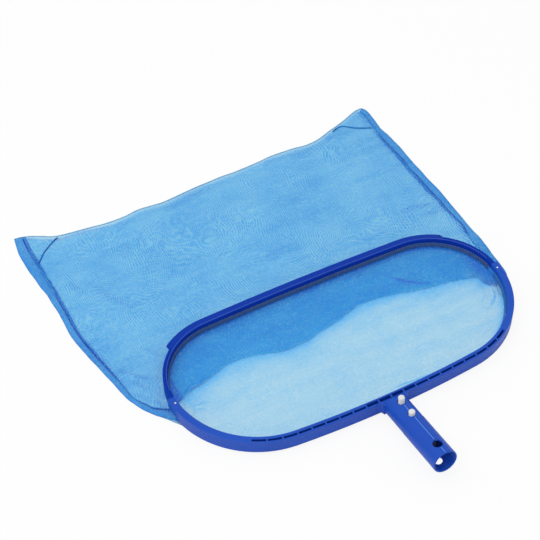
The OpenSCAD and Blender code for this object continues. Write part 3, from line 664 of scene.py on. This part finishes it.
def roll(name, line_a, line_b, height, mat, base, dark=None):
    """Flattened roll of cloth between two lines, with a rounded top. dark gives its
    darkness from the share of its length."""
    verts, n = [], len(line_a)
    ring = [(0.5 - 0.5 * math.cos(math.pi * k / ROLL_STEPS), math.sin(math.pi * k / ROLL_STEPS))
            for k in range(ROLL_STEPS + 1)]
    ring += [(2 / 3, -0.12), (1 / 3, -0.12)]
    for i in range(n):
        h = height * (0.85 + 0.15 * noise.noise(Vector((i * 0.13, 3.1, height))))
        h *= 0.35 + 0.65 * end_taper(i, n, 5)
        for t, k in ring:
            p = line_a[i] + (line_b[i] - line_a[i]) * t
            verts.append((p[0], p[1], base + h * k))
    shade = [dark(i / (n - 1)) if dark else 0.0 for i in range(n) for _ in ring]
    return new_mesh(name, verts, tube_faces(len(ring), n), mat, {"density_and_shade": shade})


def stitches(name, line, z, mat, length, gap, width):
    """A row of short thread stitches along a line."""
    s = spacing(line)
    nodes, sides = 5, 6
    verts, faces, at = [], [], 0.5
    while at + length < s[-1]:
        pts = np.array([(np.interp(q, s, line[:, 0]), np.interp(q, s, line[:, 1]))
                        for q in np.linspace(at, at + length, nodes)])
        d = (pts[-1] - pts[0]) / np.linalg.norm(pts[-1] - pts[0])
        faces += tube_faces(sides, nodes, len(verts))
        for k, (x, y) in enumerate(pts):
            hump = math.sin(math.pi * k / (nodes - 1))
            r = width * (0.5 + 0.5 * hump)
            for q in range(sides):
                a = q * 2 * math.pi / sides
                verts.append((x - d[1] * r * math.cos(a), y + d[0] * r * math.cos(a),
                              z + THREAD_LIFT * hump + r * math.sin(a)))
        at += length + gap
    return new_mesh(name, verts, faces, mat)


def side_band(name, edge, seam, allowance):
    """Sewn side of the bag: an outer band, the stitch line pressed in, and the seam
    allowance folded inwards."""
    verts, density_and_shade, thin = [], [], []
    for i, (o, s, w) in enumerate(zip(edge, seam, allowance)):
        d = (s - o) / max(np.linalg.norm(s - o), 1e-6)
        q = s + d * w
        rise = 1 + 0.12 * noise.noise(Vector((i * 0.11, 1.7, w * 0.1)))
        rise *= 0.4 + 0.6 * end_taper(i, len(edge), 4)
        # Each place in the ring, with its height, darkness and thinness; the darkness at the
        # pressed-in stitch line is painted shade of its groove.
        ring = (
            (o, 0.3, 0.35, 0), (o + d * 0.15, 1.2, 0.45, 0), (o + d * 1.1, 1.9, 0.02, 0),
            (o + (s - o) * 0.5, 1.8, 0.0, 0), (s - d * 1.3, 1.9, 0.1, 0),
            (s - d * 0.5, 1.3, 0.95, 0), (s + d * 0.5, 1.3, 0.95, 0),
            (s + d * 1.2, 2.2, 0.62, 0), (s + d * (0.55 * w + 0.4), 2.1, 0.5, 0.05),
            (q - d * 0.5, 1.7, 0.4, 0.25), (q, 0.9, 0.2, 0.75), (q, 0.3, 0.2, 0.8),
            (s, 0.25, 0.3, 0.4),
        )
        for p, z, dark, clear in ring:
            verts.append((p[0], p[1], BAND_Z + z * rise))
            density_and_shade.append(dark)
            thin.append(clear)
    return new_mesh(name, verts, tube_faces(len(ring), len(edge)), BIND,
                    {"density_and_shade": density_and_shade, "thin": thin})


edge_l, seam_l = curve(EDGE_L, SIDES), curve(SEAM_L, SIDES)
edge_r, seam_r = curve(EDGE_R, SIDES), curve(SEAM_R, SIDES)
allow_l = np.interp(seam_l[:, 1], [0, 40, 120, 300], [2.0, 3.0, 4.2, 4.6])
allow_r = np.interp(seam_r[:, 1], [0, 40, 90, 160, 270, 325], [1.5, 2.0, 3.4, 5.4, 4.2, 2.4])
side_tape_left = side_band("side_binding_left", edge_l, seam_l, allow_l)
side_tape_right = side_band("side_binding_right", edge_r, seam_r, allow_r)
thread_left = stitches("side_stitches_left", seam_l[8:-3], 1.9, THREAD, 2.6, 1.2, 0.42)
thread_right = stitches("side_stitches_right", seam_r[30:-3], 1.9, THREAD, 2.6, 1.2, 0.42)

DART_HALF = 0.9
darts = []
for name, pts in (("corner_dart_left", DART_L), ("corner_dart_right", DART_R)):
    d = curve(pts, 60)
    side = normals(d) * DART_HALF
    darts.append(roll(name, d - side, d + side, 2.0, SEAM, 1.6,
                      dark=lambda k: 0.9 * max(0, 1 - min(k, 1 - k) * 7)))

far_line = curve(FAR, 300)
far_edge = roll("far_edge_hem", far_line - (0, 1.7), far_line, 1.5, EDGE, 0.5)


def hem_strip(name, front, cut):
    """Folded hem of the mouth: from the groove in the wall down to where the net leaves."""
    n, rows, verts, density_and_shade, thin = 420, 9, [], [], []
    top, low = wall_line(front, HEM_IN, n, cut), wall_line(front, HEM_OUT, n, cut)
    for r in range(rows):
        t = r / (rows - 1)
        for i in range(n):
            p = top[i] + (low[i] - top[i]) * t
            puff = 0.35 * math.sin(math.pi * t) + 0.12 * math.sin(i * 0.9)
            verts.append((p[0], p[1], HEM_TOP + (HEM_LOW - HEM_TOP) * t + puff))
            density_and_shade.append(0.25 + 0.35 * noise.noise(Vector((i * 0.21, r * 0.7, 5.0 + front))))
            thin.append((0.5 if front else 0.85) * float(smooth(0.5, 1.0, t)))
    # The rear strip's dark material is painted shade of the lip's wall.
    return new_mesh(name, verts, grid_faces(n, rows), HEM_FRONT if front else HEM_SHADED,
                    {"density_and_shade": density_and_shade, "thin": thin})


hem_front = hem_strip("mouth_hem_strip_front", True, 0.03)
hem_rear = hem_strip("mouth_hem_strip_rear", False, 0.01)
# Light stitches along the top of the lip's hem.
hem_stitches = stitches("hem_stitches", wall_line(False, 0.75, 400, 0.02), HEM_TOP - 0.4,
                        STITCH, 1.6, 1.4, 0.3)

# ---------------------------------------------------------------------------
# Fine lines on the frame.
# ---------------------------------------------------------------------------
# A thin half-round rib along the lip's ridge, laid on the ridge by rays from above; its lighter
# blue is a painted highlight along the ridge.
RIB_R, RIB_SUNK, RIB_POINTS = 0.5, 0.15, 7
lip = bpy.data.objects["lip_frame"]
tree = BVHTree.FromPolygons([lip.matrix_world @ v.co for v in lip.data.vertices],
                            [tuple(f.vertices) for f in lip.data.polygons])
rib, tops = [], []
for x, y in wall_line(False, -1.2, 400, 0.04):
    hit = tree.ray_cast(P(x, y, 60), Vector((0, 0, -1)))[0]
    if hit is not None:
        rib.append((x, y))
        tops.append((hit.z - Z0) * 1000)
rib = np.array(rib)
verts, n = [], len(rib)
for i, (p, side, top) in enumerate(zip(rib, normals(rib), tops)):
    height = RIB_SUNK + RIB_R * 0.8 * (0.3 + 0.7 * end_taper(i, n, 6))
    for j in range(RIB_POINTS):
        a = math.pi * j / (RIB_POINTS - 1)
        x, y = p + side * RIB_R * math.cos(a)
        verts.append((x, y, top - RIB_SUNK + height * math.sin(a)))
rim_line = new_mesh("lip_rim_line", verts, tube_faces(RIB_POINTS, n), RIM_HIGHLIGHT)
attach(rim_line, "frame")

# Parting line of the mould along the top of the handle tube, between the holes; its pale blue is a
# painted highlight along the tube's top.
TUBE_R, TILT = 14.25, math.radians(7.3)
LINE_PARTS, LINE_POINTS = ((-14.6, -6.2), (6.4, 44.6), (53.8, 64.5)), 9


def on_tube(s, side, out):
    """Point near the tube's top: s mm from the cross hole towards the frame, side mm
    round it and out mm off it."""
    a = side / TUBE_R
    r = TUBE_R + out
    n = r * math.cos(a)
    return (r * math.sin(a) / 1000, (s * math.cos(TILT) + n * math.sin(TILT)) / 1000,
            (-s * math.sin(TILT) + n * math.cos(TILT)) / 1000)


verts, faces = [], []
for s0, s1 in LINE_PARTS:
    faces += tube_faces(4, LINE_POINTS, len(verts))
    for i in range(LINE_POINTS):
        s = s0 + (s1 - s0) * i / (LINE_POINTS - 1)
        top = 0.22 * (0.25 if i in (0, LINE_POINTS - 1) else 1.0)
        for side, out in ((-0.42, -0.1), (-0.25, top), (0.25, top), (0.42, -0.1)):
            verts.append(on_tube(s, side, out))
me = bpy.data.meshes.new("tube_parting_line")
me.from_pydata(verts, [], faces)
me.update()
me.materials.append(PARTING_HIGHLIGHT)
parting = link("tube_parting_line", me)
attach(parting, "frame")
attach(hem_stitches, "frame")

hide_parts("lower_net_panel")
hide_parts("upper_net_panel")
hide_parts("far_fold")
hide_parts("side_tape_left")
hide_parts("side_tape_right")
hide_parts("side_thread_left")
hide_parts("side_thread_right")
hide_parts("corner_seam_left")
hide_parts("corner_seam_right")
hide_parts("mouth_hem_front")
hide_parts("mouth_hem_rear")
for ob in (net_lower, net_upper, far_edge, side_tape_left, side_tape_right, thread_left,
           thread_right, *darts, hem_front, hem_rear):
    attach(ob, "frame")

# ---------------------------------------------------------------------------
# Floor, light and camera.
# ---------------------------------------------------------------------------
FLOOR_HALF = 12.0    # metres
FLOOR_WHITE = 0.88   # how far the camera sees the paper turned to white
WORLD_LIGHT = 0.66

half = FLOOR_HALF
floor_me = bpy.data.meshes.new("floor")
floor_me.from_pydata([(-half, -half, Z0), (half, -half, Z0), (half, half, Z0), (-half, half, Z0)],
                     [], [(0, 1, 2, 3)])
floor = link("floor", floor_me)
paper, nt, p = principled("floor_paper")
p.inputs["Base Color"].default_value = (0.97, 0.97, 0.97, 1)
p.inputs["Roughness"].default_value = 0.9
p.inputs["Specular IOR Level"].default_value = 0.0
# The camera sees the paper part way to white, with the object's shadow on it.
rays = nt.nodes.new("ShaderNodeLightPath")
glow = nt.nodes.new("ShaderNodeEmission")
blend = nt.nodes.new("ShaderNodeMixShader")
seen = math_node(nt, "MULTIPLY", rays.outputs["Is Camera Ray"], FLOOR_WHITE)
nt.links.new(seen, blend.inputs[0])
nt.links.new(p.outputs[0], blend.inputs[1])
nt.links.new(glow.outputs[0], blend.inputs[2])
nt.links.new(blend.outputs[0], nt.nodes["Material Output"].inputs["Surface"])
floor_me.materials.append(paper)

world = bpy.data.worlds.new("studio")
bpy.context.scene.world = world
world.use_nodes = True
nt = world.node_tree
sky = nt.nodes["Background"]
sky.inputs["Color"].default_value = (1, 1, 1, 1)
# White where the camera sees it, and WORLD_LIGHT for everything else.
seen = nt.nodes.new("ShaderNodeLightPath").outputs["Is Camera Ray"]
lit = math_node(nt, "MULTIPLY", math_node(nt, "SUBTRACT", 1.0, seen), WORLD_LIGHT)
nt.links.new(math_node(nt, "ADD", lit, seen), sky.inputs["Strength"])

KEY_AT, KEY_TO = Vector((-0.9, 0.3, 2.4)), Vector((0, 0.2, 0))
key = bpy.data.lights.new("key", "AREA")
key.shape = "RECTANGLE"
key.size, key.size_y = 2.2, 2.2
key.energy = 25
key_ob = link("key", key)
key_ob.location = KEY_AT
key_ob.rotation_mode = "QUATERNION"
key_ob.rotation_quaternion = (KEY_TO - KEY_AT).to_track_quat("-Z", "Y")

# The photo's camera, fitted to the frame's oval, the tube and the bag's corners.
cam_data = bpy.data.cameras.new("camera")
cam = link("camera", cam_data)
bpy.context.scene.camera = cam
cam_data.sensor_width = 36.0
cam_data.lens = 93.69
cam_data.shift_x, cam_data.shift_y = -0.00154, -0.00298
cam_data.clip_start, cam_data.clip_end = 0.05, 60
azimuth, elevation, tilt = (math.radians(v) for v in (-27.95, 46.66, -0.53))
look = Vector((-math.sin(azimuth) * math.cos(elevation),
               math.cos(azimuth) * math.cos(elevation), -math.sin(elevation)))
right = look.cross(Vector((0, 0, 1))).normalized()
up = right.cross(look)
rot = Matrix((right * math.cos(tilt) + up * math.sin(tilt),
              -right * math.sin(tilt) + up * math.cos(tilt), -look)).transposed().to_4x4()
cam.matrix_world = Matrix.Translation(P(-554.8, -881.7, 1218.7)) @ rot

bpy.context.scene.view_settings.view_transform = "Standard"
